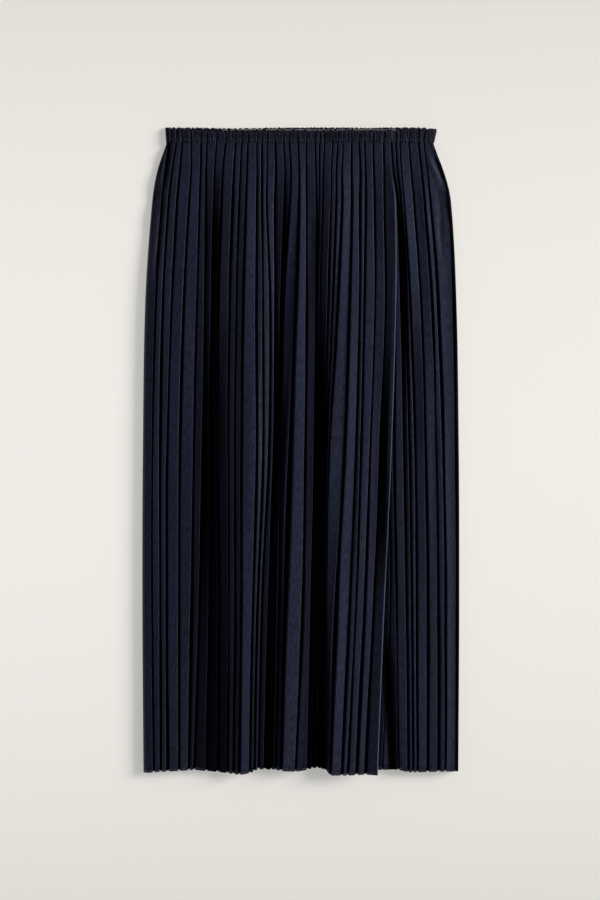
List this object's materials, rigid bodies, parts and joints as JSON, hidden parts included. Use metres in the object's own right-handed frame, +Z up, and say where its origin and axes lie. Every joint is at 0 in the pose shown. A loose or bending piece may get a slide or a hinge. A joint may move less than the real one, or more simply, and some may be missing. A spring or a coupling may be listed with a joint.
{
  "type": "pleated midi skirt",
  "caption": "Navy pleated wrap-front midi skirt with a narrow elasticated waistband, laid flat on its back panel.",
  "frame": {"origin": "on the surface that the skirt lies on, under the middle of its outline", "axes": "+Y runs from the hem to the waist, +X towards the viewer's right, +Z up away from the surface"},
  "size_m": [0.3908, 0.8, 0.023],
  "materials": {
    "pleated_cloth": "dark navy woven polyester, heat-set pleats, soft satin sheen on the pleat edges",
    "waistband_cloth": "the same navy polyester, gathered over elastic, matt"
  },
  "bodies": {
    "root": {"front_overlap": "pleated_cloth", "front_underlap": "pleated_cloth", "back_panel": "pleated_cloth", "waistband_front": "waistband_cloth", "waistband_back": "waistband_cloth"}
  },
  "joints": []
}
